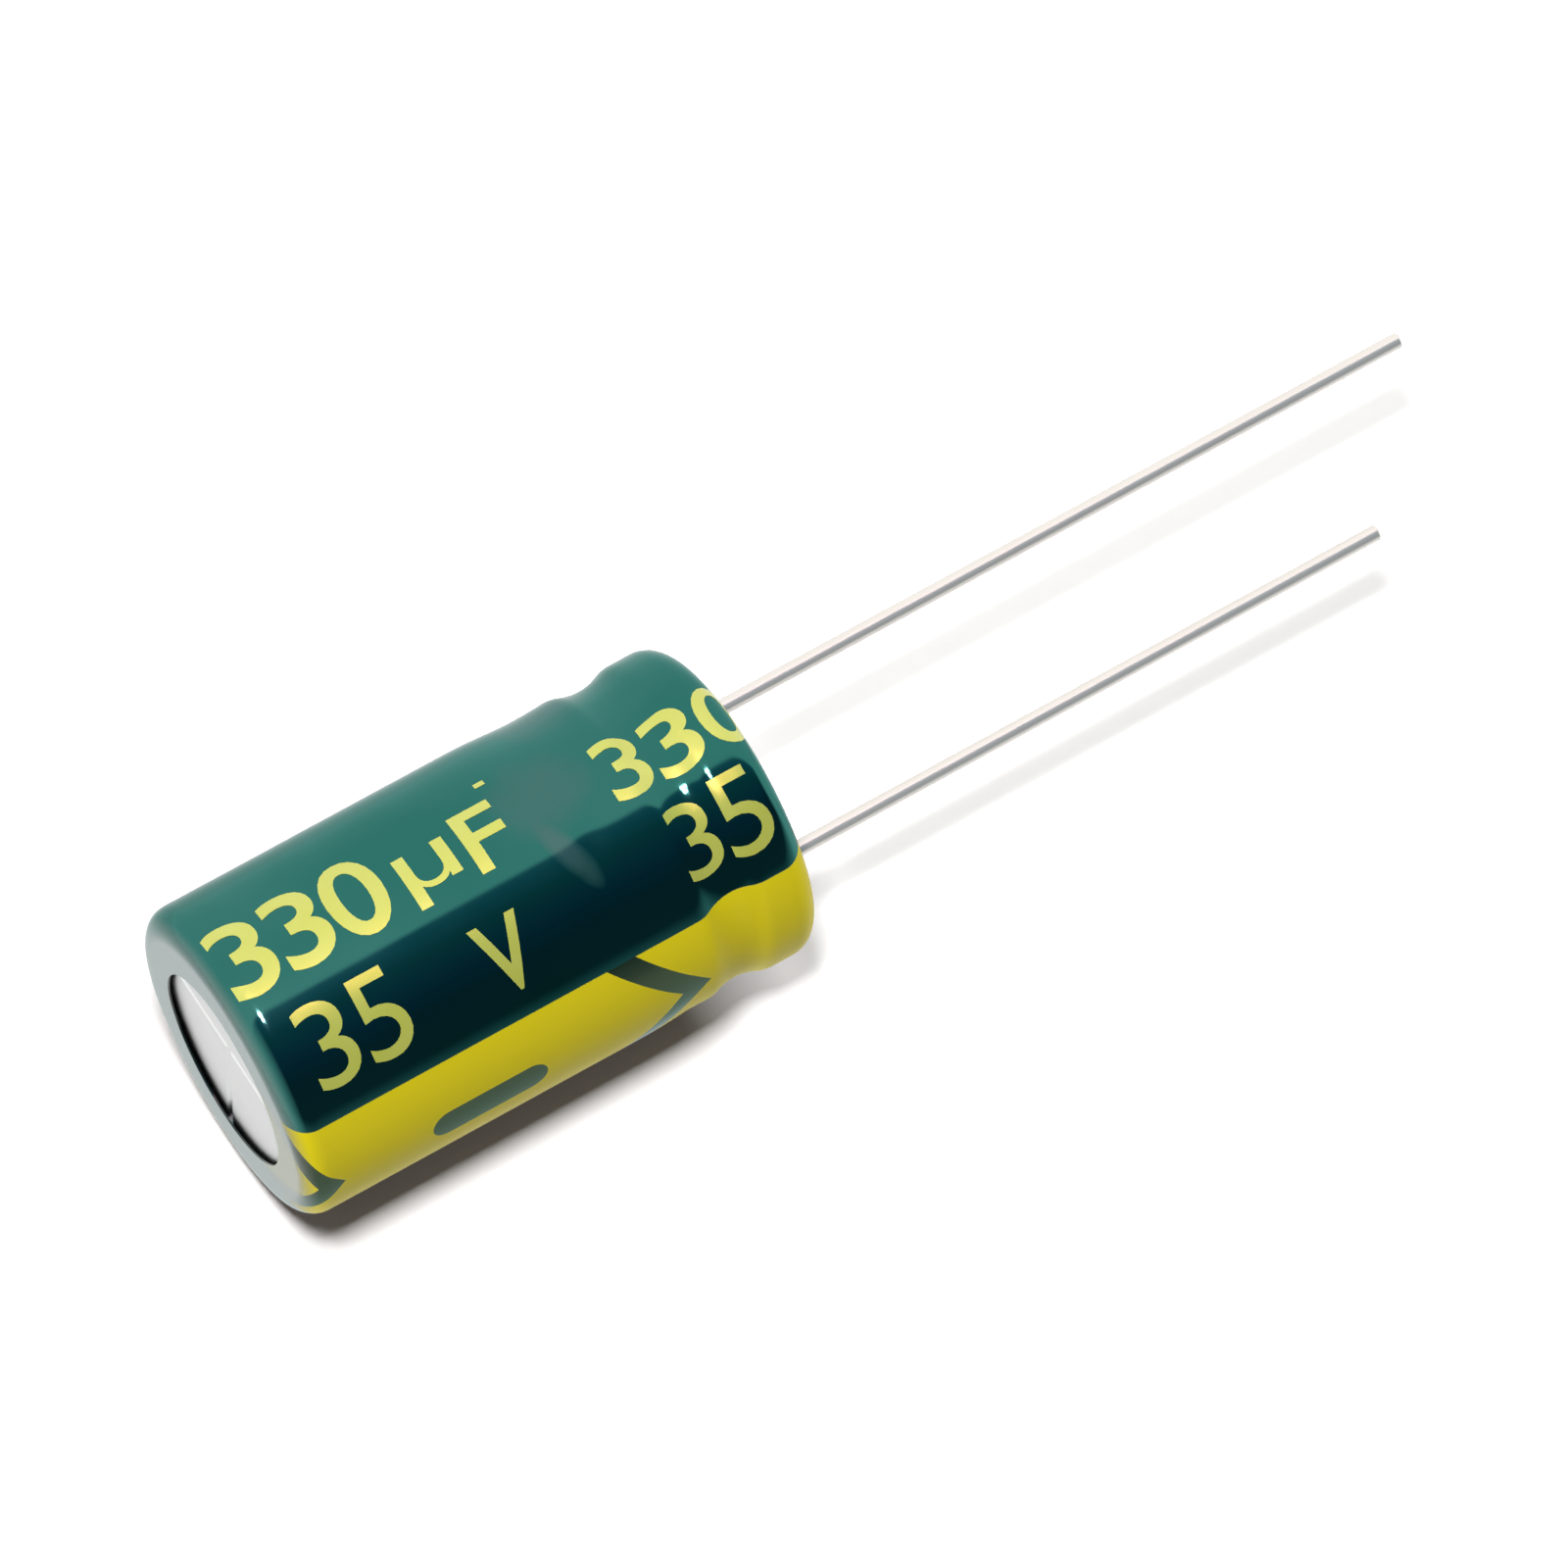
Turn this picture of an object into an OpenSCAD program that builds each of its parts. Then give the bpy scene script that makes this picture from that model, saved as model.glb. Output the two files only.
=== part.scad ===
// Radial electrolytic capacitor: a drawn can in a printed shrink sleeve, closed by a
// rubber bung, with a wound element inside and two straight leads.
// It stands on its closed end, with the leads pointing up.

/* [Can] */
// Outside diameter of the bare can
can_d = 10; // [9:0.5:14]
// Height of the bare can, from its base to the top of its curled rim
can_h = 17.6; // [16:0.2:26]
// Thickness of the drawn wall
wall_t = 0.3; // [0.2:0.05:0.35]
// Thickness of the base
base_t = 0.4; // [0.3:0.05:0.6]
// Outer radius of the corner between the wall and the base
corner_r = 0.6; // [0.5:0.05:0.9]
// Outer radius of the curl that the rim is rolled into
curl_r = 0.7; // [0.6:0.05:0.8]
// How far the curl's cut edge is turned down into the bung
curl_bite = 0.15; // [0:0.05:0.3]

/* [Rolled groove] */
// Height of the groove's middle below the top of the rim
groove_drop = 2.9; // [2.5:0.1:3.2]
// Height of the groove between the ends of its two shoulders
groove_w = 2.4; // [2:0.1:2.8]
// Depth of the groove in the wall
groove_depth = 0.55; // [0.45:0.05:0.6]
// Radius of the shoulders above and below the groove
shoulder_r = 0.9; // [0.6:0.05:1]

/* [Vent] */
// Distance of the vent's long score from the middle of the base
vent_offset = 1.35; // [0.6:0.05:1.6]
// Width of a score at the surface
score_w = 0.3; // [0.2:0.05:0.4]
// Depth of a score
score_depth = 0.15; // [0.05:0.05:0.2]
// Distance from the middle of the base to the ends of the scores
score_reach = 3.9; // [3:0.1:4]
// Turn of the scores about the axis, in degrees
vent_turn = -8; // [-90:1:90]

/* [Sleeve] */
// Thickness of the shrunk film
sleeve_t = 0.2; // [0.1:0.05:0.25]
// Diameter of the opening that the film leaves on the base
base_opening_d = 6.5; // [5.5:0.1:7.5]
// Diameter of the opening that the film leaves at the lead end
lead_opening_d = 7.9; // [7.6:0.1:8.2]
// How far the film sinks into the rolled groove
sleeve_dip = 0.25; // [0.2:0.05:0.4]

/* [Print on the sleeve] */
// Height that the printed fields stand out of the film
ink_t = 0.03; // [0.02:0.01:0.05]
// Turn of the stripe's centre line about the axis, in degrees from the negative lead
stripe_turn = -13; // [-60:1:60]
// Width of the stripe around the sleeve, in degrees
stripe_angle = 60; // [40:1:80]
// Height of the notch of the upper arrow gap on the stripe's centre line
arrow_z = 13; // [11:0.1:14]
// Distance along the axis from one arrow gap to the next
arrow_pitch = 12.8; // [8:0.1:14]
// Width of an arrow gap along the axis
arrow_gap = 1; // [0.6:0.1:1.6]
// How far an arrow gap sweeps back at the edges of the stripe
arrow_sweep = 2.2; // [1:0.1:3]
// Height of the minus bar's middle
minus_z = 6.25; // [4:0.05:8]
// Length of the minus bar
minus_l = 4; // [2:0.1:5]
// Width of the minus bar
minus_w = 1.2; // [0.6:0.1:1.6]

/* [Bung] */
// Height of the bung, from its inner face to its outer face
bung_h = 4.4; // [4:0.1:4.8]
// Depth of the bung's outer face below the top of the rim
bung_recess = 0.35; // [0.2:0.05:0.5]
// Width of the cone that opens each hole at the outer face
hole_flare = 0.2; // [0.1:0.05:0.3]

/* [Wound element] */
// Radial gap between the element's tape and the wall of the can
element_gap = 0.3; // [0.2:0.05:0.5]
// Gap between the top of the element and the bung
element_head = 1.1; // [0.8:0.1:1.6]
// Diameter of the hole that the winding mandrel leaves
core_d = 1; // [0.6:0.1:1.4]
// Thickness of the last turn of foil and paper
turn_t = 0.12; // [0.06:0.02:0.2]
// Thickness of the tape around the element
tape_t = 0.1; // [0.06:0.02:0.16]
// Width of bare element above and below the tape
tape_margin = 1.4; // [0.6:0.1:2]

/* [Leads] */
// Distance between the middles of the two leads
lead_pitch = 5; // [4.4:0.1:5]
// Diameter of the lead wire
lead_d = 0.5; // [0.45:0.05:0.6]
// Length of the positive lead above the sleeved case
positive_lead_l = 25.4; // [15:0.1:30]
// Length of the negative lead above the sleeved case
negative_lead_l = 21.5; // [12:0.1:28]
// Width of the bevel at the cut end of a lead
lead_bevel = 0.05; // [0.02:0.01:0.1]
// Diameter of the round stem that passes through the bung
stem_d = 1.2; // [1:0.1:1.4]
// Depth of the weld between stem and wire below the outer face of the bung
weld_drop = 0.3; // [0.2:0.05:0.4]
// Height of the weld bead
weld_h = 0.45; // [0.3:0.05:0.6]
// Width of the ledge of the stem around the weld bead
weld_ledge_w = 0.05; // [0.02:0.01:0.1]

/* [Tabs] */
// Width of the flattened part of a tab
tab_w = 1.8; // [1.4:0.1:2]
// Thickness of the flattened part of a tab
tab_t = 0.25; // [0.2:0.05:0.3]
// Length of a tab inside the element
tab_l = 7; // [4:0.1:8]
// Length of the taper from the round stem to the flat tab
taper_l = 0.8; // [0.5:0.1:0.8]

/* [Hidden] */
$fn = 96;
can_r = can_d / 2;
eps = 0.01;
spare = can_r / 4; // how far a cut runs past the faces that it opens
can_z = sleeve_t;
can_top = can_z + can_h;
case_top = can_top + sleeve_t;
groove_z = can_top - groove_drop;
floor_z = can_z + base_t;
bung_top = can_top - bung_recess;
bung_z = bung_top - bung_h;
element_r = can_r - wall_t - element_gap - tape_t;
element_top = bung_z - element_head;
curl_z = can_top - curl_r;
curl_x = can_r - curl_r;
weld_z = bung_top - weld_drop;

// Radius of an arc that sinks to a depth in the groove and meets both shoulders smoothly
function groove_r(depth) = (depth * depth + groove_w * groove_w / 4) / (2 * depth) - shoulder_r;

// Section of the rolled groove, with its surface shifted inwards by inset
module groove_section(depth, inset) {
    r = groove_r(depth);
    x = can_r - depth + r;
    translate([x, groove_z]) circle(r + inset);
    difference() {
        for (side = [-1, 1])
            polygon([[x, groove_z], [can_r - shoulder_r, groove_z + side * groove_w / 2],
                     [x + r, groove_z + side * groove_w / 2], [x + r, groove_z]]);
        for (side = [-1, 1])
            translate([can_r - shoulder_r, groove_z + side * groove_w / 2])
                circle(shoulder_r - inset);
    }
}

// Section of the space inside the can's outer face shifted inwards by inset, from z0 to z1,
// with a rounded lower corner
module wall_section(inset, z0, z1, corner, depth) {
    r = can_r - inset;
    difference() {
        union() {
            translate([0, z0]) square([r - corner, z1 - z0]);
            translate([0, z0 + corner]) square([r, z1 - z0 - corner]);
            translate([r - corner, z0 + corner]) circle(corner);
        }
        groove_section(depth, inset);
    }
}

// Section of the curled rim with its surface shifted inwards by inset
module curl_section(inset) {
    intersection() {
        translate([curl_x, curl_z]) circle(curl_r - inset);
        translate([curl_x - curl_r - sleeve_t, curl_z]) square([can_d, can_d]);
    }
}

module can() {
    color("silver") difference() {
        rotate_extrude() {
            difference() {
                wall_section(0, can_z, curl_z, corner_r, groove_depth);
                wall_section(wall_t, floor_z, can_top, corner_r - wall_t, groove_depth);
            }
            difference() {
                curl_section(0);
                curl_section(wall_t);
            }
            translate([curl_x - curl_r, curl_z - curl_bite]) square([wall_t, curl_bite]);
        }
        vent_scores();
    }
}

// One score, a V cut along +X from x0 to x1 in the base
module score(x0, x1) {
    translate([x0, 0, can_z]) rotate([90, 0, 90]) linear_extrude(x1 - x0)
        polygon([[-score_w, -score_depth], [score_w, -score_depth], [0, score_depth]]);
}

// The pressed vent: a long score beside the middle, and a short one across to the far side
module vent_scores() {
    half_chord = sqrt(score_reach * score_reach - vent_offset * vent_offset);
    rotate(vent_turn) {
        translate([0, -vent_offset, 0]) score(-half_chord, half_chord);
        rotate(90) score(-vent_offset, score_reach);
    }
}

// Section of the film, whose outer face stands out by extra
module sleeve_section(extra) {
    t = sleeve_t + extra;
    difference() {
        union() {
            wall_section(-t, can_z - t, curl_z, corner_r + t, sleeve_dip);
            curl_section(-t);
            translate([0, curl_z]) square([curl_x, curl_r + t]);
        }
        union() {
            wall_section(0, can_z, curl_z + eps, corner_r, sleeve_dip);
            curl_section(0);
            translate([0, curl_z]) square([curl_x, curl_r]);
        }
        square([base_opening_d / 2, curl_z]);
        translate([0, curl_z]) square([lead_opening_d / 2, can_h]);
    }
}

// Flat outline of the stripe: x runs around the sleeve in millimetres, y along the axis
module stripe_outline() {
    half_w = can_r * sin(stripe_angle / 2);
    difference() {
        translate([-half_w, can_z]) square([2 * half_w, can_h]);
        for (notch = [arrow_z, arrow_z - arrow_pitch], side = [-1, 1])
            translate([0, notch]) polygon([[0, 0], [0, arrow_gap],
                [side * 2 * half_w, arrow_gap - 2 * arrow_sweep],
                [side * 2 * half_w, -2 * arrow_sweep]]);
        for (end = [-1, 1])
            translate([0, minus_z + end * (minus_l - minus_w) / 2]) circle(minus_w / 2);
        translate([-minus_w / 2, minus_z - (minus_l - minus_w) / 2])
            square([minus_w, minus_l - minus_w]);
    }
}

// The film with the printed stripe as a hair-thin relief
module sleeve() {
    color("darkslategray") rotate_extrude() sleeve_section(0);
    color("gold") intersection() {
        rotate_extrude() difference() {
            sleeve_section(ink_t);
            square([can_r - corner_r, case_top + spare]);
            translate([0, -spare]) square([can_d, spare + can_z + corner_r / 2]);
            translate([0, can_top - curl_r / 2]) square([can_d, can_d]);
        }
        rotate(stripe_turn) rotate([90, 0, 90]) linear_extrude(can_d) stripe_outline();
    }
}

// The bung fills the neck of the can, and stands up as a boss inside the curled rim
module rubber_bung() {
    color("dimgray") difference() {
        rotate_extrude() {
            wall_section(wall_t, bung_z, curl_z - curl_bite, corner_r - wall_t, groove_depth);
            boss_section();
        }
        for (side = [-1, 1]) translate([side * lead_pitch / 2, 0, 0]) {
            translate([0, 0, bung_z - spare]) cylinder(d = stem_d, h = bung_h + 2 * spare);
            translate([0, 0, bung_top - hole_flare])
                cylinder(d1 = stem_d, d2 = stem_d + 2 * hole_flare, h = hole_flare + eps);
        }
    }
}

// Section of the boss inside the curl's cut edge
module boss_section() {
    boss_r = curl_x - curl_r;
    translate([0, bung_z]) square([boss_r - hole_flare, bung_h]);
    translate([0, bung_z]) square([boss_r, bung_h - hole_flare]);
    translate([boss_r - hole_flare, bung_top - hole_flare]) circle(hole_flare);
}

// Outline of the roll: the last turn ends in a step
module roll_outline() {
    circle(element_r - turn_t);
    intersection() {
        circle(element_r);
        translate([-can_d, 0]) square([2 * can_d, can_d]);
    }
}

module wound_element() {
    color("wheat") difference() {
        translate([0, 0, floor_z]) linear_extrude(element_top - floor_z) difference() {
            roll_outline();
            circle(d = core_d);
        }
        for (side = [-1, 1]) translate([side * lead_pitch / 2, 0, element_top - tab_l])
            translate([-tab_t / 2, -tab_w / 2, 0]) cube([tab_t, tab_w, tab_l + spare]);
    }
}

// Tape around the roll, drawn tight over the step of the last turn
module element_tape() {
    color("khaki") translate([0, 0, floor_z + tape_margin])
        linear_extrude(element_top - floor_z - 2 * tape_margin) difference() {
            circle(element_r + tape_t);
            roll_outline();
        }
}

// A tab: flat between the turns of the roll, then widening to the round stem in the bung
module tab() {
    taper_z = bung_z - taper_l;
    intersection() {
        rotate([90, 0, 0]) linear_extrude(tab_w, center = true)
            polygon([[-tab_t / 2, element_top - tab_l], [tab_t / 2, element_top - tab_l],
                     [tab_t / 2, taper_z], [stem_d / 2, bung_z], [stem_d / 2, weld_z],
                     [-stem_d / 2, weld_z], [-stem_d / 2, bung_z], [-tab_t / 2, taper_z]]);
        rotate_extrude()
            polygon([[0, floor_z], [tab_w, floor_z], [tab_w, taper_z],
                     [stem_d / 2, bung_z], [stem_d / 2, weld_z], [0, weld_z]]);
    }
}

module positive_tab() {
    color("gainsboro") translate([-lead_pitch / 2, 0, 0]) tab();
}

module negative_tab() {
    color("gainsboro") translate([lead_pitch / 2, 0, 0]) tab();
}

// A lead wire: its weld bead covers the end of the stem, and its cut end is bevelled
module lead(length) {
    tip_z = case_top + length;
    rotate_extrude()
        polygon([[0, weld_z], [stem_d / 2 - weld_ledge_w, weld_z], [lead_d / 2, weld_z + weld_h],
                 [lead_d / 2, tip_z - lead_bevel], [lead_d / 2 - lead_bevel, tip_z], [0, tip_z]]);
}

module positive_lead() {
    color("lightgray") translate([-lead_pitch / 2, 0, 0]) lead(positive_lead_l);
}

module negative_lead() {
    color("lightgray") translate([lead_pitch / 2, 0, 0]) lead(negative_lead_l);
}

sleeve();
can();
rubber_bung();
wound_element();
element_tape();
positive_tab();
negative_tab();
positive_lead();
negative_lead();
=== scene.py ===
import math

import bpy
from mathutils import Matrix, Vector, noise


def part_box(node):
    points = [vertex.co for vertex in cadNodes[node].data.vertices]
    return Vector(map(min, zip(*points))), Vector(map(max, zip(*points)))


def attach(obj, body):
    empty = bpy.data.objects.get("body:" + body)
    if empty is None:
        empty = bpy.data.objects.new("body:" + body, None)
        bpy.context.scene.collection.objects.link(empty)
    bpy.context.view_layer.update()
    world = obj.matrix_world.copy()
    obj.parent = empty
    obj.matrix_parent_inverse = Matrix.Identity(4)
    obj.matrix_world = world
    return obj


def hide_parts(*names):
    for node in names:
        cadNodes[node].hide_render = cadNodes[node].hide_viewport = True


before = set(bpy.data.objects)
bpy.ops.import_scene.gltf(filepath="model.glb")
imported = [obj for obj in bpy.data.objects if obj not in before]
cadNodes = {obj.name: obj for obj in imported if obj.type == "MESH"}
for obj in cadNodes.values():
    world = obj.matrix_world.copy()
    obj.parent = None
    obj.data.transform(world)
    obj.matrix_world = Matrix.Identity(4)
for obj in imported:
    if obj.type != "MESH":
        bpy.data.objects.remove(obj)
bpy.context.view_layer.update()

# Radial capacitor in a green printed sleeve. It stands on its closed end; the camera looks at it from
# just below, turned so that the leads point up to the right.

scene = bpy.context.scene
mm = 0.001
upward = Vector((0, 0, 1))
canRadius = -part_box("can")[0].x
filmThick = 0.2 * mm         # of the CAD's film

print("frame loaded:", len(cadNodes), "nodes")


# Shader maths: a socket that Python's operators work on, and the tree that it belongs to

class Wire:
    def __init__(self, graph, socket):
        self.graph = graph
        self.socket = socket

    def math(self, operation, *others):
        values = dict(enumerate((self,) + others))
        return self.graph.node("ShaderNodeMath", {"operation": operation}, values)

    def __add__(self, other):
        return self.math("ADD", other)

    def __radd__(self, other):
        return self.math("ADD", other)

    def __sub__(self, other):
        return self.math("SUBTRACT", other)

    def __rsub__(self, other):
        return self.graph.number(other).math("SUBTRACT", self)

    def __mul__(self, other):
        return self.math("MULTIPLY", other)

    def __rmul__(self, other):
        return self.math("MULTIPLY", other)

    def __truediv__(self, other):
        return self.math("DIVIDE", other)

    def __abs__(self):
        return self.math("ABSOLUTE")

    def atLeast(self, other):
        return self.math("MAXIMUM", other)

    # 1 where the value is above the edge, 0 below it, with a soft step of the given width
    def above(self, edge, width):
        return self.graph.node("ShaderNodeMapRange", {"clamp": True}, {
            "Value": self,
            "From Min": edge - width / 2,
            "From Max": edge + width / 2})

    def below(self, edge, width):
        return self.above(edge, -width)


class Graph:
    def __init__(self, owner):
        owner.use_nodes = True
        self.tree = owner.node_tree
        self.tree.nodes.clear()

    # Any node: its type, its settings, then the values or links of its sockets
    def node(self, kind, settings=None, sockets=None, out=0):
        made = self.tree.nodes.new(kind)
        for name, value in (settings or {}).items():
            if name == "stops":
                ramp = made.color_ramp.elements
                while len(ramp) < len(value):
                    ramp.new(1.0)
                for stop, (position, shade) in zip(ramp, value):
                    stop.position = position
                    stop.color = shade
            else:
                setattr(made, name, value)
        for name, value in (sockets or {}).items():
            if isinstance(value, Wire):
                self.tree.links.new(value.socket, made.inputs[name])
            else:
                made.inputs[name].default_value = value
        return Wire(self, made.outputs[out]) if len(made.outputs) else made

    def number(self, value):
        if isinstance(value, Wire):
            return value
        return self.node("ShaderNodeMath", {"operation": "ADD"}, {0: value, 1: 0.0})

    def split(self, vector):
        parts = self.node("ShaderNodeSeparateXYZ", None, {0: vector})
        return [Wire(self, socket) for socket in parts.socket.node.outputs]

    def place(self):
        return self.node("ShaderNodeTexCoord", out="Object")

    def mix(self, factor, first, second):
        return self.node("ShaderNodeMix", {"data_type": "RGBA"}, {0: factor, 6: first, 7: second}, 2)

    def noise(self, scale, detail, vector):
        return self.node("ShaderNodeTexNoise", None, {"Vector": vector, "Scale": scale, "Detail": detail})

    def bump(self, height, distance, strength):
        return self.node("ShaderNodeBump", None, {
            "Height": height, "Distance": distance, "Strength": strength})

    def finish(self, sockets):
        surface = self.node("ShaderNodeBsdfPrincipled", None, sockets)
        self.node("ShaderNodeOutputMaterial", None, {"Surface": surface})


def newMaterial(name):
    material = bpy.data.materials.new(name)
    return material, Graph(material)


def colour(red, green, blue):
    return (red, green, blue, 1.0)


# Small helpers for modelling

def deselectAll():
    if bpy.context.object and bpy.context.object.mode != "OBJECT":
        bpy.ops.object.mode_set(mode="OBJECT")
    bpy.ops.object.select_all(action="DESELECT")


def makeActive(piece):
    deselectAll()
    piece.select_set(True)
    bpy.context.view_layer.objects.active = piece


def settle(piece):
    makeActive(piece)
    bpy.ops.object.transform_apply(location=True, rotation=True, scale=True)


def applyModifier(piece, kind, **settings):
    makeActive(piece)
    modifier = piece.modifiers.new(kind.title(), kind)
    for name, value in settings.items():
        setattr(modifier, name, value)
    bpy.ops.object.modifier_apply(modifier=modifier.name)


def wear(piece, material):
    if not piece.material_slots:
        piece.data.materials.append(material)
    for holder in piece.material_slots:
        holder.material = material


# Camera: a long lens, below the closed end and turned about its own axis

cameraSet = {
    "azimuth": 13.92,        # degrees round the object from the front
    "elevation": -14.12,     # degrees above the horizon
    "roll": 61.39,           # degrees, turns the picture so that the leads rise to the right
    "target": (0.0, 0.0, 20.0 * mm),
    "slide": (-0.295 * mm, -0.709 * mm),   # to the right and up in the picture
    "distance": 450 * mm,
    "focal": 15171.2,        # in pixels of a frame 1600 pixels high
    "frameHeight": 1600,
    "sensor": 36.0,          # millimetres
    "clip": (0.01, 10),
}


def addCamera(size):
    azimuth, elevation, roll = (math.radians(size[key]) for key in ("azimuth", "elevation", "roll"))
    back = Vector((
        math.sin(azimuth) * math.cos(elevation),
        -math.cos(azimuth) * math.cos(elevation),
        math.sin(elevation)))
    level = upward.cross(back).normalized()
    rise = back.cross(level)
    right = level * math.cos(roll) + rise * math.sin(roll)
    top = rise * math.cos(roll) - level * math.sin(roll)
    slide, lift = size["slide"]
    place = Vector(size["target"]) + right * slide + top * lift + back * size["distance"]
    data = bpy.data.cameras.new("camera")
    data.sensor_width = size["sensor"]
    data.lens = size["focal"] / size["frameHeight"] * size["sensor"]
    data.clip_start, data.clip_end = size["clip"]
    camera = bpy.data.objects.new("camera", data)
    scene.collection.objects.link(camera)
    camera.matrix_world = Matrix.Translation(place) @ Matrix((right, top, back)).transposed().to_4x4()
    scene.camera = camera


addCamera(cameraSet)

print("camera set")


# Stage and light

stageSet = {
    "floorSpan": 600 * mm,
    "tableSpan": 84 * mm,
    "tableHeight": 20 * mm,
    "tableTurn": -101,       # the table that the can lies on in the picture faces this way, in degrees
    "white": colour(1.13, 1.12, 1.12),
    "whiteInGloss": colour(0.25, 0.25, 0.25),
    "glossReach": 24 * mm,   # how far from the can's foot its gloss sees the table
    "glossFade": 16.8 * mm,
    # light of the table's own for the camera, by the height above the closed end, and for the gloss
    "glow": (
        (14 * mm, (0.035, 0.02, 0.012)),
        (17.5 * mm, (0.6, 0.58, 0.57)),
        (21.5 * mm, (0.28, 0.28, 0.27)),
    ),
    "glossGlow": colour(0.55, 0.55, 0.55),
    "gap": 0.02 * mm,        # from the part to the floor and the table
}


# Unit vector at a turn round the axis and a rise above the horizon, both in degrees
def heading(turn, rise=0):
    turn, rise = math.radians(turn), math.radians(rise)
    return Vector((math.cos(turn) * math.cos(rise), math.sin(turn) * math.cos(rise), math.sin(rise)))


# What kind of ray looks: the camera's, one through a clear piece, or a gloss. A gloss only counts
# before the light has scattered, so that it brings no light to the matt surfaces.
def rays(graph):
    path = graph.node("ShaderNodeLightPath").socket.node
    camera, glossy, through, scattered = (Wire(graph, path.outputs[name]) for name in (
        "Is Camera Ray", "Is Glossy Ray", "Is Transmission Ray", "Diffuse Depth"))
    return camera, through, glossy * scattered.below(0.5, 0.1)


# Pale surface that only the camera sees, and the gloss too where it is told so, and only from its front
def stageMaterial(name, inGloss):
    material, graph = newMaterial(name)
    camera, _, glossy = rays(graph)
    away = graph.node("ShaderNodeVectorMath", {"operation": "LENGTH"}, {0: graph.place()}, "Value")
    near = away.below(stageSet["glossReach"], stageSet["glossFade"])
    seen = camera.atLeast(glossy * near) if inGloss else camera
    back = graph.node("ShaderNodeNewGeometry", out="Backfacing")
    white = graph.mix(glossy, stageSet["white"], stageSet["whiteInGloss"])
    plain = graph.node("ShaderNodeBsdfDiffuse", None, {"Color": white})
    height = graph.split(graph.place())[2] / stageSet["tableSpan"]
    stops = [(place / stageSet["tableSpan"], colour(*shade)) for place, shade in stageSet["glow"]]
    glowing = graph.node("ShaderNodeValToRGB", {"stops": stops}, {"Fac": height})
    glow = graph.node("ShaderNodeEmission", None, {
        "Color": graph.mix(glossy, glowing, stageSet["glossGlow"])})
    lit = graph.node("ShaderNodeAddShader", None, {0: plain, 1: glow})
    clear = graph.node("ShaderNodeBsdfTransparent")
    shown = graph.node("ShaderNodeMixShader", None, {0: seen * (1 - back), 1: clear, 2: lit})
    graph.node("ShaderNodeOutputMaterial", None, {"Surface": shown})
    return material


def addStage():
    facing = heading(stageSet["tableTurn"])
    middle = upward * stageSet["tableHeight"] - facing * (canRadius + filmThick + stageSet["gap"])
    for name, span, normal, place, inGloss in (
            ("floor", stageSet["floorSpan"], upward, -upward * stageSet["gap"], False),
            ("table", stageSet["tableSpan"], facing, middle, True)):
        deselectAll()
        bpy.ops.mesh.primitive_plane_add(size=span, location=place,
                                         rotation=normal.to_track_quat("Z", "Y").to_euler())
        plane = bpy.context.object
        plane.name = name
        settle(plane)
        wear(plane, stageMaterial(name + "_white", inGloss))


lightSet = {
    "ambient": 0.08,         # plain light from all round
    # diffuse lamps: turn and rise in degrees, light level on a surface that faces it, size; the fills
    # stand behind the table, so that they leave its shadows alone
    "lamps": {
        "key": (-92, -10, 0.97, 100 * mm),
        "fill_right": (6, 0, 0.2, 200 * mm),
        "fill_left": (152, 0, 0.5, 200 * mm),
        "fill_above": (79, 74, 0.6, 200 * mm),
        "fill_below": (79, -74, 0.6, 200 * mm),
        "fill_behind": (79, 0, 0.35, 200 * mm),
    },
    "distance": 500 * mm,
    "glintTint": (1.0, 0.55, 0.62),      # makes up for the film's green, so that its glints are white
    # what the gloss sees round the object, by the turn in degrees: bright, then the dark side
    "round": (
        (-180, (1, 1, 1)),
        (-98, (1, 1, 1)),
        (-96, (0.08, 0.26, 0.40)),
        (-80, (0.035, 0.16, 0.21)),
        (-68, (0.03, 0.115, 0.19)),
        (-56, (0.02, 0.077, 0.144)),
        (-44, (0.02, 0.064, 0.10)),
        (-16, (0.03, 0.07, 0.09)),
        (-4, (0.25, 0.33, 0.36)),
        (40, (1, 1, 1)),
    ),
    # where that ring ends above and below, as the sine of the rise, and how softly
    "ringTop": (0.97, 0.04),
    "ringFoot": (-0.75, 0.5),
    # small lamps that only the gloss sees: turn in degrees, height that they aim at, width and
    # height of the lamp, and how bright it is
    "glints": {
        "glint_low": (-97, 6 * mm, 22 * mm, 90 * mm, 90.0),
        "glint_high": (-93, 10 * mm, 24 * mm, 60 * mm, 100.0),
    },
}


def addLamp(name, direction, aim, distance, size, power):
    data = bpy.data.lights.new(name, "AREA")
    data.shape = "RECTANGLE"
    data.size, data.size_y = size
    data.energy = power
    lamp = bpy.data.objects.new(name, data)
    scene.collection.objects.link(lamp)
    lamp.location = aim + direction.normalized() * distance
    lamp.rotation_euler = direction.to_track_quat("Z", "Y").to_euler()
    lamp.visible_camera = False
    return lamp


def addLights(size):
    aim = upward * (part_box("can")[1].z / 2)
    for name, (turn, rise, level, span) in size["lamps"].items():
        power = level * (math.pi * size["distance"]) ** 2
        lamp = addLamp(name, heading(turn, rise), aim, size["distance"], (span, span), power)
        lamp.visible_glossy = False
    for name, (turn, height, width, tall, level) in size["glints"].items():
        power = level * math.pi * width * tall
        lamp = addLamp(name, heading(turn), upward * height, size["distance"], (width, tall), power)
        lamp.data.color = size["glintTint"]
        lamp.visible_diffuse = False


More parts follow.
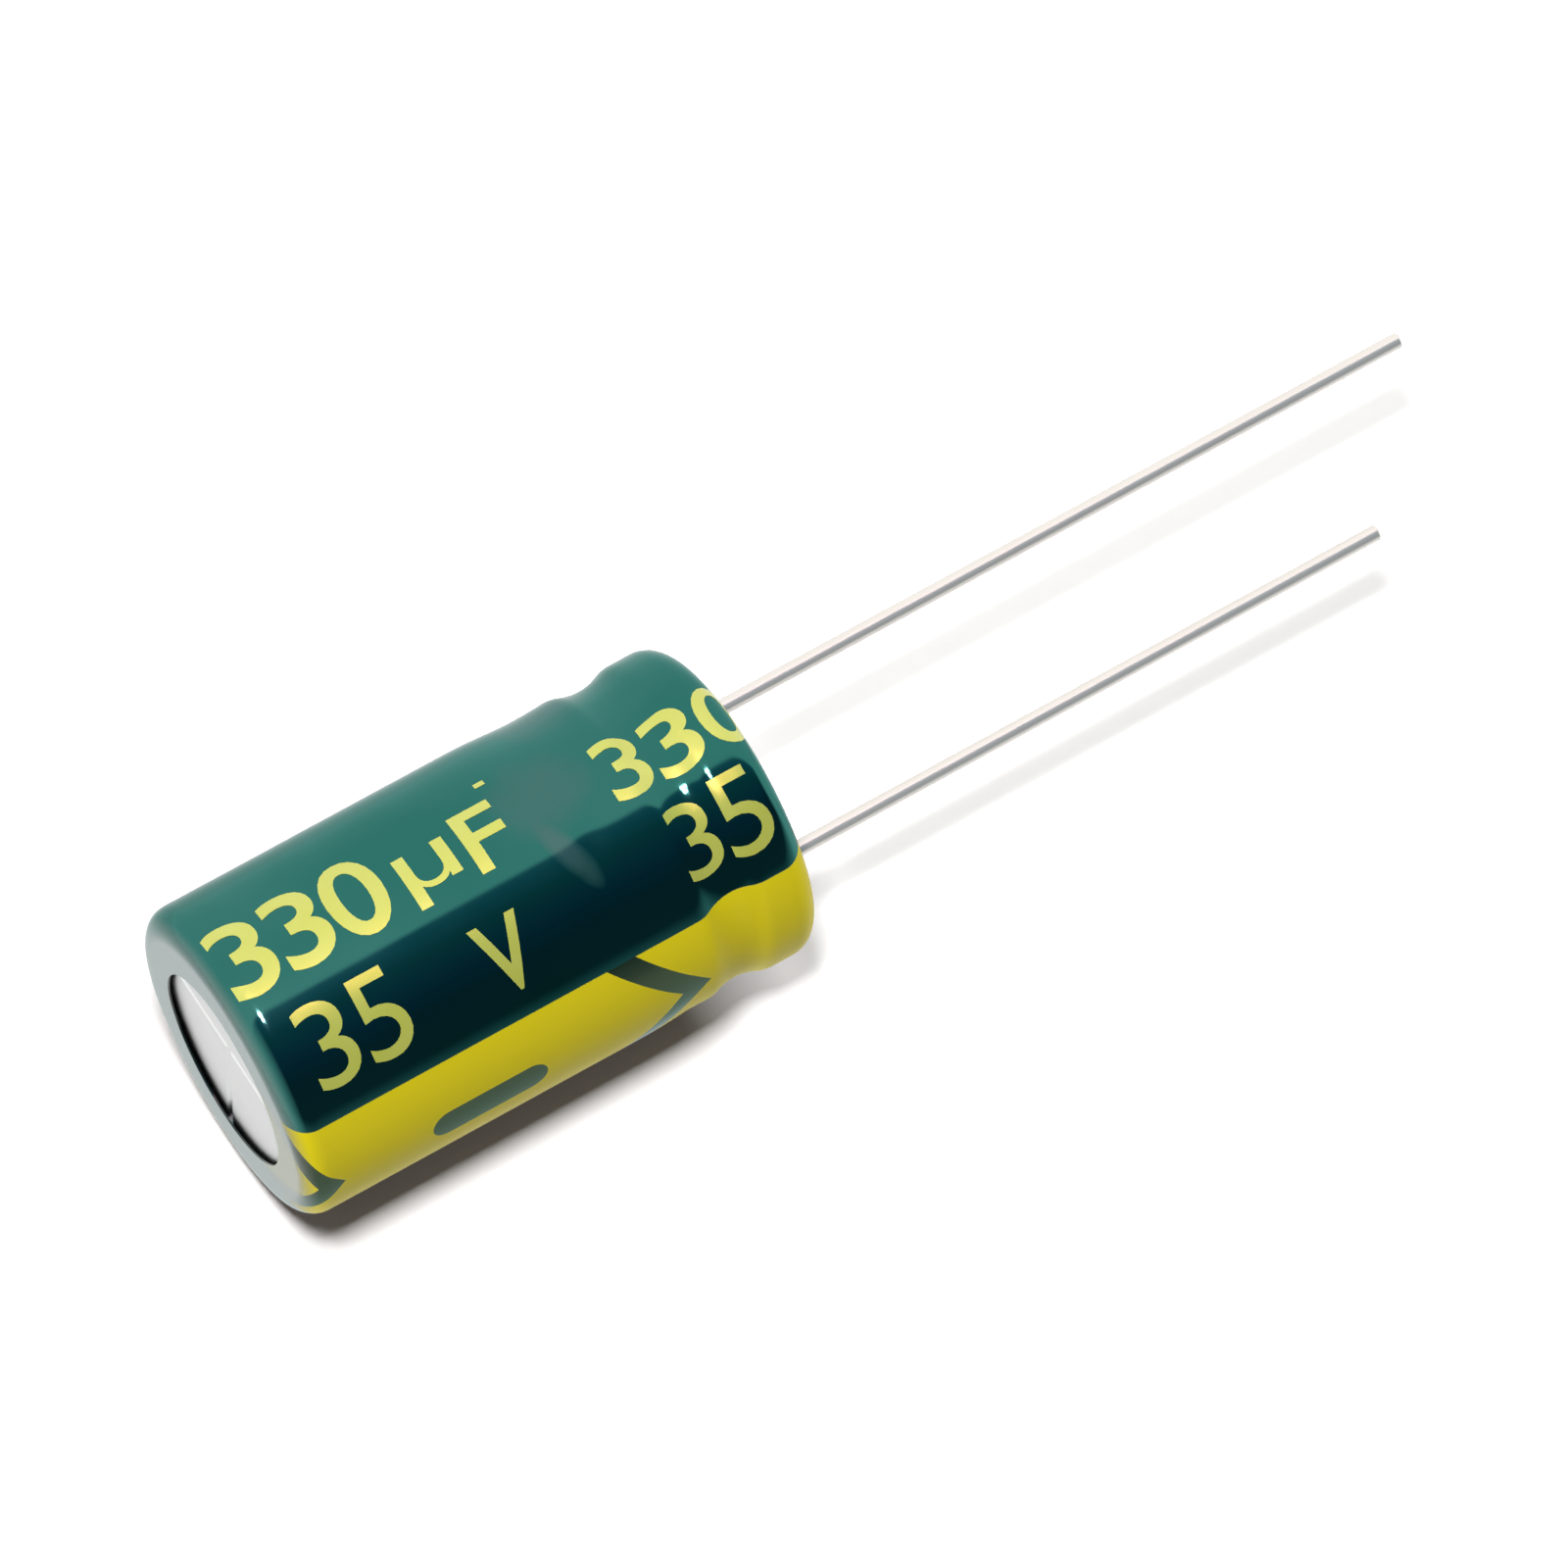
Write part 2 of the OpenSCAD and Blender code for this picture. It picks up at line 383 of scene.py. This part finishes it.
# White room for the camera; the gloss also sees one dark side, where the camera stands
def setWorld(size):
    world = bpy.data.worlds.new("room")
    scene.world = world
    graph = Graph(world)
    x, y, z = graph.split(graph.node("ShaderNodeTexCoord", out="Generated"))
    around = y.math("ARCTAN2", x) * (0.5 / math.pi) + 0.5
    stops = [((turn + 180) / 360, colour(*shade)) for turn, shade in size["round"]]
    ring = graph.node("ShaderNodeValToRGB", {"stops": stops}, {"Fac": around})
    level = z.below(*size["ringTop"]) * z.above(*size["ringFoot"])
    camera, through, glossy = rays(graph)
    seen = graph.mix(level * (1 - camera), colour(1, 1, 1), ring)
    show = graph.node("ShaderNodeBackground", None, {"Color": seen, "Strength": 1.0})
    fill = graph.node("ShaderNodeBackground", None, {"Color": colour(1, 1, 1), "Strength": size["ambient"]})
    both = graph.node("ShaderNodeMixShader", None, {
        0: camera.atLeast(glossy).atLeast(through), 1: fill, 2: show})
    graph.node("ShaderNodeOutputWorld", None, {"Surface": both})


addStage()
setWorld(lightSet)
addLights(lightSet)
scene.view_settings.view_transform = "Standard"
print("stage and light set")


# The shrink sleeve: one ring of its outline after another, then its own waves, then its thickness

sleeveSet = {
    "radius": canRadius + 0.185 * mm,
    "height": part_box("sleeve")[1].z,
    "film": 0.07 * mm,       # thickness that shows at the cut edges
    "baseOpening": 3.25 * mm,
    "leadOpening": 3.95 * mm,
    "corner": 0.8 * mm,
    "curl": 0.9 * mm,
    "groovePlace": 15.2 * mm,
    "grooveHalf": 1.2 * mm,
    "grooveDip": 0.25 * mm,
    "shoulder": 0.9 * mm,
    "segments": 240,
    "step": 0.22 * mm,       # from ring to ring along the outline
    "fineStep": 0.11 * mm,   # at the groove and the lead end
    "cornerStep": 0.1 * mm,
    "curlStep": 0.09 * mm,
    "smooth": math.radians(40),
}


# Points of an arc round (x, z), as (radius, height) pairs
def arc(x, z, radius, start, end, step):
    count = max(3, math.ceil(abs(end - start) * abs(radius) / step))
    turns = (start + (end - start) * i / count for i in range(1, count + 1))
    return [(x + radius * math.cos(turn), z + radius * math.sin(turn)) for turn in turns]


def line(start, end, step):
    length = math.dist(start, end)
    count = max(1, math.ceil(length / step))
    return [tuple(a + (b - a) * i / count for a, b in zip(start, end)) for i in range(1, count + 1)]


def sleeveOutline(size):
    radius, height, corner, curl = (size[key] for key in ("radius", "height", "corner", "curl"))
    place, half, dip, shoulder = (size[key] for key in (
        "groovePlace", "grooveHalf", "grooveDip", "shoulder"))
    step, fine = size["step"], size["fineStep"]
    valley = (dip * dip + half * half) / (2 * dip) - shoulder      # radius that meets both shoulders
    reach = math.atan2(half, valley + shoulder - dip)
    outer, inner = shoulder + filmThick, valley - filmThick
    points = [(size["baseOpening"], 0.0)]
    points += line(points[-1], (radius - corner, 0.0), step)
    points += arc(radius - corner, corner, corner, -math.pi / 2, 0, size["cornerStep"])
    points += line(points[-1], (radius, place - half), step)
    points += arc(radius - outer, place - half, outer, 0, reach, fine)
    points += arc(radius - dip + inner, place, inner, math.pi + reach, math.pi - reach, fine)
    points += arc(radius - outer, place + half, outer, -reach, 0, fine)
    points += line(points[-1], (radius, height - curl), step)
    points += arc(radius - curl, height - curl, curl, 0, math.pi / 2, size["curlStep"])
    points += line(points[-1], (size["leadOpening"], height), fine)
    return points


waveSet = {
    "fine": 0.006 * mm,      # slight waves all over the film
    "fineScale": (0.5, 0.35),        # waves in a millimetre, round the film and along it
    "neck": 0.03 * mm,       # creases over the groove
    "neckScale": (0.9, 1.1),
    "neckReach": 1.5 * mm,
    "lip": 0.05 * mm,        # how uneven the cut edges are
    "lipScale": 1.7,
    "lipReach": 1.2 * mm,
    # dents: turn in degrees, height, width round the film, width along it, depth
    "dents": (
        (-152, 12.9 * mm, 2.6 * mm, 1.3 * mm, 0.13 * mm),
        (-80, 12.0 * mm, 0.6 * mm, 0.4 * mm, 0.025 * mm),
        (10, 13.6 * mm, 2.6 * mm, 0.9 * mm, 0.08 * mm),
    ),
}


# How far the film sinks below its plain outline at a turn about the axis and a height
def sink(turn, height):
    radius = sleeveSet["radius"]
    spot = Vector((math.cos(turn), math.sin(turn), 0)) * (radius / mm)
    sideScale, upScale = waveSet["fineScale"]
    fine = 0.5 + 0.5 * noise.noise(spot * sideScale + Vector((3.1, 0, height / mm * upScale)))
    neck = math.exp(-((height - sleeveSet["groovePlace"]) / waveSet["neckReach"]) ** 2)
    sideScale, upScale = waveSet["neckScale"]
    crease = 0.5 + 0.5 * noise.noise(spot * sideScale + Vector((0, 7.7, height / mm * upScale)))
    depth = waveSet["fine"] * fine + waveSet["neck"] * crease * neck
    for dentTurn, dentHeight, wide, tall, deep in waveSet["dents"]:
        around = math.remainder(turn - math.radians(dentTurn), math.tau) * radius / wide
        along = (height - dentHeight) / tall
        depth += deep * math.exp(-around * around - along * along)
    return depth


def addSleeve():
    points = sleeveOutline(sleeveSet)
    deselectAll()
    bpy.ops.mesh.primitive_circle_add(vertices=sleeveSet["segments"], radius=points[0][0],
                                      location=(0, 0, points[0][1]))
    piece = bpy.context.object
    piece.name = "printed_sleeve"
    bpy.ops.object.mode_set(mode="EDIT")
    bpy.ops.mesh.select_all(action="SELECT")
    for (oldRadius, oldHeight), (radius, height) in zip(points, points[1:]):
        bpy.ops.mesh.extrude_edges_move(TRANSFORM_OT_translate={"value": (0, 0, height - oldHeight)})
        scale = radius / oldRadius
        bpy.ops.transform.resize(value=(scale, scale, 1), center_override=(0, 0, height))
    bpy.ops.mesh.select_all(action="SELECT")
    bpy.ops.mesh.normals_make_consistent(inside=False)
    bpy.ops.object.mode_set(mode="OBJECT")
    for vertex in piece.data.vertices:
        turn = math.atan2(vertex.co.y, vertex.co.x)
        reach = vertex.co.xy.length
        lip = noise.noise(Vector((math.cos(turn), math.sin(turn), vertex.co.z / mm)) * waveSet["lipScale"])
        lipShare = max(0, 1 - (reach - sleeveSet["baseOpening"]) / waveSet["lipReach"])
        scale = (reach - sink(turn, vertex.co.z) + waveSet["lip"] * lip * lipShare) / reach
        vertex.co.x *= scale
        vertex.co.y *= scale
    side = max(piece.data.polygons, key=lambda face: face.center.xy.length)
    if side.normal.xy.dot(side.center.xy) < 0:
        piece.data.flip_normals()
    applyModifier(piece, "SOLIDIFY", thickness=sleeveSet["film"], offset=-1, use_rim=True)
    makeActive(piece)
    bpy.ops.object.shade_smooth_by_angle(angle=sleeveSet["smooth"])
    return piece


printSet = {
    "green": colour(0.028, 0.170, 0.143),
    "greenPale": colour(0.045, 0.195, 0.172),
    "yellow": colour(0.70, 0.585, 0.010),
    "greenInShade": colour(0.060, 0.090, 0.052),      # painted shade: the film inside the stripe's gaps and its minus bar, darker and duller, standing in for the shadowed table that it reflects there
    "mottle": (700, 3),                            # scale and detail of the fine pattern
    "cloud": (160, 2),                             # and of the broad one
    "paleFrom": (0.5, 0.3),
    "below": (5 * mm, 1 * mm),                     # where the lower end starts, and how softly
    "lipReflectionGrey": colour(0.34, 0.30, 0.29),           # painted reflection: the film folded over the base turns pale grey, standing in for the white room that it reflects at a glancing angle
    "lipPlace": (0.5 * mm, 0.7 * mm),
    "lipInk": 0.75,                                # how much of the ink and the green the painted reflection takes
    "lipGreen": 0.6,
    "smearGrey": colour(0.115, 0.17, 0.175),
    "smearEdge": (0.8, 1.2),
    "smearRagged": 1.6,
    "smearDull": 0.6,
    # faint grey smears: turn, height, lean, half length round the film, half height, strength
    "smears": (
        (-86.5, 11.3 * mm, 0.28, 1.3 * mm, 0.42 * mm, 0.5),
        (-108, 11.6 * mm, 0, 1.5 * mm, 1.4 * mm, 0.3),
        (-150, 13.2 * mm, 0, 1.6 * mm, 1.4 * mm, 0.35),
    ),
    "cut": colour(0.004, 0.010, 0.009),            # shadow line at the cut edge
    "cutEdge": 0.02 * mm,
    "cutPlace": (0.012 * mm, 0.01 * mm),
    "stripeTurn": math.radians(-13),
    "stripeHalf": 2.5 * mm,
    "stripeGrowth": 0.13 * mm,                     # how much wider each side is above the groove
    "growthPlace": (15.3 * mm, 1.8 * mm),
    "notches": (13.0 * mm, 0.2 * mm),              # heights of the arrow gaps
    "gap": 1.0 * mm,
    "sweep": 2.2 * mm,
    "minusPlace": 6.25 * mm,
    "minusLength": 4.0 * mm,
    "minusWidth": 1.2 * mm,
    "edge": 0.03 * mm,
    "rough": 0.06,
    "roughMottle": 0.05,
    "roughInk": 0.3,
    "relief": (0.03 * mm, 0.2),                    # depth and strength of the broad pattern
}


# Green film with a metal sheen; the stripe is a flat field of ink, and its arrow gaps and its minus bar are
# flat fields of darker green that is painted shade
def sleeveMaterial(size):
    material, graph = newMaterial("green_film")
    place = graph.place()
    x, y, z = graph.split(place)
    turn = size["stripeTurn"]
    across = y * math.cos(turn) - x * math.sin(turn)
    outward = x * math.cos(turn) + y * math.sin(turn)
    reach = (x * x + y * y).math("SQRT")
    tucked = (sleeveSet["radius"] - reach).atLeast(0) * z.below(*size["below"])
    height = z - tucked      # along the film, on round the lower corner
    edge = size["edge"]
    growth = z.above(*size["growthPlace"]) * size["stripeGrowth"]
    front = outward.above(0, edge)
    stripe = (abs(across) - growth).below(size["stripeHalf"], edge) * front
    swept = height + abs(across) * (size["sweep"] / size["stripeHalf"])
    for notch in size["notches"]:
        stripe = stripe * (1 - swept.above(notch, edge) * swept.below(notch + size["gap"], edge))
    straight = (size["minusLength"] - size["minusWidth"]) / 2
    lengthwise = (abs(z - size["minusPlace"]) - straight).atLeast(0)
    bar = (lengthwise * lengthwise + across * across).math("SQRT")
    ink = stripe * (1 - bar.below(size["minusWidth"] / 2, edge))
    # Over the base the film turns grey and its ink fades: a painted reflection; the same mask also gives
    # the film a coat there
    lip = tucked.above(*size["lipPlace"])
    ink = ink * (1 - size["lipInk"] * lip)
    # A painted shadow line along the film's cut edge at the base opening
    rim = reach.below(sleeveSet["baseOpening"] + waveSet["lip"], size["cutEdge"])
    cut = rim * z.above(*size["cutPlace"])
    mottle = graph.noise(*size["mottle"], place)
    cloud = graph.noise(*size["cloud"], place)
    green = graph.mix(cloud.above(*size["paleFrom"]), size["green"], size["greenPale"])
    # The film under the stripe turns darker and duller: painted shade for the shadowed table that it
    # reflects
    green = graph.mix(abs(across).below(size["stripeHalf"], edge) * front, green, size["greenInShade"])
    green = graph.mix(size["lipGreen"] * lip, green, size["lipReflectionGrey"])
    smear = graph.number(0)
    for smearTurn, smearHeight, lean, half, tall, strength in size["smears"]:
        smearTurn = math.radians(smearTurn)
        sideways = y * math.cos(smearTurn) - x * math.sin(smearTurn)
        along = (z - smearHeight - sideways * lean) / tall
        facing = (x * math.cos(smearTurn) + y * math.sin(smearTurn)).above(0, edge)
        far = (sideways / half) * (sideways / half) + along * along
        ragged = far + size["smearRagged"] * (mottle - 0.5) + cloud - 0.5
        smear = smear.atLeast(ragged.below(*size["smearEdge"]) * facing * strength)
    green = graph.mix(smear, green, size["smearGrey"])
    graph.finish({
        "Base Color": graph.mix(cut, graph.mix(ink, green, size["yellow"]), size["cut"]),
        "Metallic": (1 - ink) * (1 - cut) * (1 - size["smearDull"] * smear),
        "Roughness": size["rough"] + size["roughMottle"] * mottle + size["roughInk"] * ink,
        "Specular IOR Level": 0.15,
        "Specular Tint": colour(0.70, 0.85, 0.83),
        "Coat Weight": lip,
        "Coat IOR": 1.7,
        "Coat Roughness": 0.1,
        "Normal": graph.bump(cloud, *size["relief"]),
    })
    return material


sleeve = addSleeve()
wear(sleeve, sleeveMaterial(printSet))
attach(sleeve, "root")
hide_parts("sleeve")
print("sleeve made:", len(sleeve.data.polygons), "faces")


# Plain rating figures in the places of the print, each between two turns round the axis, in degrees,
# and two heights above the base, in millimetres

ratingSet = {
    "stand": 0.012 * mm,     # ink above the film
    "depth": 0.03 * mm,      # and how far it reaches into it
    "stride": 0.16 * mm,     # from cut to cut, so that a figure can bend
    "probe": 0.03 * mm,      # half the length that the film's slope is read over
    "roundness": 6,          # steps in each curve of a figure
    "merge": 0.0005 * mm,
    "smooth": math.radians(30),
    "ink": colour(0.75, 0.78, 0.17),
    "inkDeep": colour(0.67, 0.69, 0.08),
    "grain": (900, 3),
    "metallic": 0.4,
    "rough": (0.22, 0.15),   # least, and how much the grain adds
    # how much bolder than the font, foot and head round the axis, left and right end above the base
    "figures": (
        ("3", 0.012, -92.0, -123.0, 0.42, 2.10),
        ("3", 0.012, -92.0, -123.0, 2.32, 4.02),
        ("0", 0.012, -91.7, -123.1, 4.17, 6.04),
        ("µ", 0.0, -90.8, -111.9, 6.59, 8.33),
        ("F", 0.012, -91.8, -116.5, 8.75, 10.15),
        ("3", 0.0, -52.2, -82.2, 1.38, 2.90),
        ("5", 0.0, -52.0, -82.2, 3.18, 4.71),
        ("V", 0.018, -51.7, -77.4, 7.38, 9.02),
        ("3", 0.012, -90.2, -115.0, 13.47, 14.95),
        ("3", 0.012, -89.9, -115.1, 15.16, 16.76),
        ("0", 0.012, -90.5, -116.0, 16.97, 18.60),
        ("3", 0.0, -54.1, -81.7, 14.35, 15.70),
        ("5", 0.0, -54.1, -83.4, 15.92, 17.45),
        ("-", 0.0, -122.9, -125.1, 10.12, 10.46),
    ),
}


# The sleeve's outline as a path, so that print can follow it over the end: distance, radius, height
def pathAlong():
    points = sleeveOutline(sleeveSet)
    widest = sleeveSet["radius"] - 0.001 * mm
    start = next(i for i, point in enumerate(points) if point[0] > widest)
    path = [(points[start][1], *points[start])]
    for before, after in zip(points[start:], points[start + 1:]):
        path.append((path[-1][0] + math.dist(before, after), *after))
    return path


def pointAlong(path, distance):
    if distance <= path[0][0]:                     # the plain corner below the wall
        height = max(distance, 0.02 * mm)
        rise = max(sleeveSet["corner"] - height, 0)
        inset = sleeveSet["corner"] - math.sqrt(max(sleeveSet["corner"] ** 2 - rise ** 2, 0))
        return sleeveSet["radius"] - inset, height
    for before, after in zip(path, path[1:]):
        if distance <= after[0]:
            share = (distance - before[0]) / (after[0] - before[0])
            return before[1] + (after[1] - before[1]) * share, before[2] + (after[2] - before[2]) * share
    return path[-1][1:]


# One character as a flat solid, cut across both ways so that it can bend with the sleeve
def addFigure(character, weight, width, height):
    deselectAll()
    bpy.ops.object.text_add()
    piece = bpy.context.object
    piece.data.body = character
    piece.data.offset = weight
    piece.data.extrude = 0.1
    piece.data.resolution_u = ratingSet["roundness"]
    bpy.ops.object.convert(target="MESH")
    piece = bpy.context.object
    corners = [Vector(corner) for corner in piece.bound_box]
    low = Vector(map(min, *corners))
    high = Vector(map(max, *corners))
    for vertex in piece.data.vertices:
        vertex.co.x = (vertex.co.x - low.x) / (high.x - low.x) * width
        vertex.co.y = (vertex.co.y - low.y) / (high.y - low.y) * height
    bpy.ops.object.mode_set(mode="EDIT")
    for reach, normal in ((width, (1, 0, 0)), (height, (0, 1, 0))):
        count = math.ceil(reach / ratingSet["stride"])
        for i in range(1, count):
            bpy.ops.mesh.select_all(action="SELECT")
            bpy.ops.mesh.bisect(plane_co=Vector(normal) * (reach * i / count), plane_no=normal)
    bpy.ops.object.mode_set(mode="OBJECT")
    return piece


def addRating():
    path = pathAlong()
    made = []
    for character, weight, foot, head, left, right in ratingSet["figures"]:
        radius = sleeveSet["radius"]
        height = math.radians(foot - head) * radius
        figure = addFigure(character, weight, (right - left) * mm, height)
        for vertex in figure.data.vertices:
            turn = math.radians(foot) - vertex.co.y / radius
            distance = left * mm + vertex.co.x
            reach, up = pointAlong(path, distance)
            reach -= sink(turn, up)
            before, after = (Vector(pointAlong(path, distance + side * ratingSet["probe"]))
                             for side in (-1, 1))
            along = (after - before).normalized()
            lift = ratingSet["stand"] if vertex.co.z > 0 else -ratingSet["depth"]
            reach += along.y * lift
            up -= along.x * lift
            vertex.co = (reach * math.cos(turn), reach * math.sin(turn), up)
        made.append(figure)
    deselectAll()
    for figure in made:
        figure.select_set(True)
    bpy.context.view_layer.objects.active = made[0]
    bpy.ops.object.join()
    piece = bpy.context.object
    piece.name = "rating_print"
    bpy.ops.object.mode_set(mode="EDIT")
    bpy.ops.mesh.select_all(action="SELECT")
    bpy.ops.mesh.remove_doubles(threshold=ratingSet["merge"])
    bpy.ops.mesh.normals_make_consistent(inside=False)
    bpy.ops.object.mode_set(mode="OBJECT")
    bpy.ops.object.shade_smooth_by_angle(angle=ratingSet["smooth"])
    return piece


# The ink of the figures is thin, so some of the film's sheen shows through
def inkMaterial(size):
    material, graph = newMaterial("yellow_ink")
    patch = graph.noise(*size["grain"], graph.place())
    least, more = size["rough"]
    graph.finish({
        "Base Color": graph.mix(patch, size["ink"], size["inkDeep"]),
        "Metallic": size["metallic"],
        "Roughness": least + more * patch,
        "Specular IOR Level": 0.35,
        "Coat Weight": 1.0,
        "Coat IOR": 1.6,
        "Coat Roughness": 0.15,
    })
    return material


rating = addRating()
wear(rating, inkMaterial(ratingSet))
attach(rating, "root")
print("rating made")


# Finishes of the CAD pieces: a grain blends two shades, roughens the surface and stands out a little

finishSet = {
    "drawn_aluminium": {
        "pieces": ("can", "positive_tab", "negative_tab"),
        "shades": (colour(0.96, 0.97, 0.96), colour(0.87, 0.88, 0.87)),
        "metallic": 1.0,
        "rough": (0.28, 0.15),       # least, and how much the grain adds
        "grain": (500, 4),           # scale and detail
        "stretch": (1, 12, 1),       # grain lines along the drawing
        "relief": (0.01 * mm, 0.3),  # depth and strength
    },
    "tinned_wire": {
        "pieces": ("positive_lead", "negative_lead"),
        "shades": (colour(0.97, 0.92, 0.86), colour(0.91, 0.86, 0.80)),
        "metallic": 0.66,
        "rough": (0.16, 0.12),
        "grain": (600, 3),
        "stretch": (8, 8, 1),
        "relief": (0.008 * mm, 0.3),
    },
    "bung_rubber": {
        "pieces": ("rubber_bung",),
        "shades": (colour(0.022, 0.022, 0.024), colour(0.05, 0.05, 0.05)),
        "metallic": 0.0,
        "rough": (0.55, 0.25),
        "grain": (2200, 4),
        "stretch": (1, 1, 1),
        "relief": (0.02 * mm, 0.4),
    },
    "soaked_paper": {
        "pieces": ("wound_element",),
        "shades": (colour(0.50, 0.44, 0.33), colour(0.40, 0.35, 0.26)),
        "metallic": 0.0,
        "rough": (0.6, 0.15),
        "grain": (1500, 4),
        "stretch": (1, 1, 1),
        "relief": (0.01 * mm, 0.3),
    },
    "film_tape": {
        "pieces": ("element_tape",),
        "shades": (colour(0.62, 0.50, 0.22), colour(0.52, 0.42, 0.18)),
        "metallic": 0.0,
        "rough": (0.3, 0.15),
        "grain": (1500, 4),
        "stretch": (1, 1, 1),
        "relief": (0.01 * mm, 0.3),
    },
}


def finishMaterial(name, size):
    material, graph = newMaterial(name)
    place = graph.node("ShaderNodeMapping", None, {"Vector": graph.place(), "Scale": size["stretch"]})
    grain = graph.noise(*size["grain"], place)
    least, more = size["rough"]
    graph.finish({
        "Base Color": graph.mix(grain, *size["shades"]),
        "Metallic": size["metallic"],
        "Roughness": least + more * grain,
        "Normal": graph.bump(grain, *size["relief"]),
    })
    return material


for name, size in finishSet.items():
    material = finishMaterial(name, size)
    for piece in size["pieces"]:
        wear(cadNodes[piece], material)
print("finishes set")
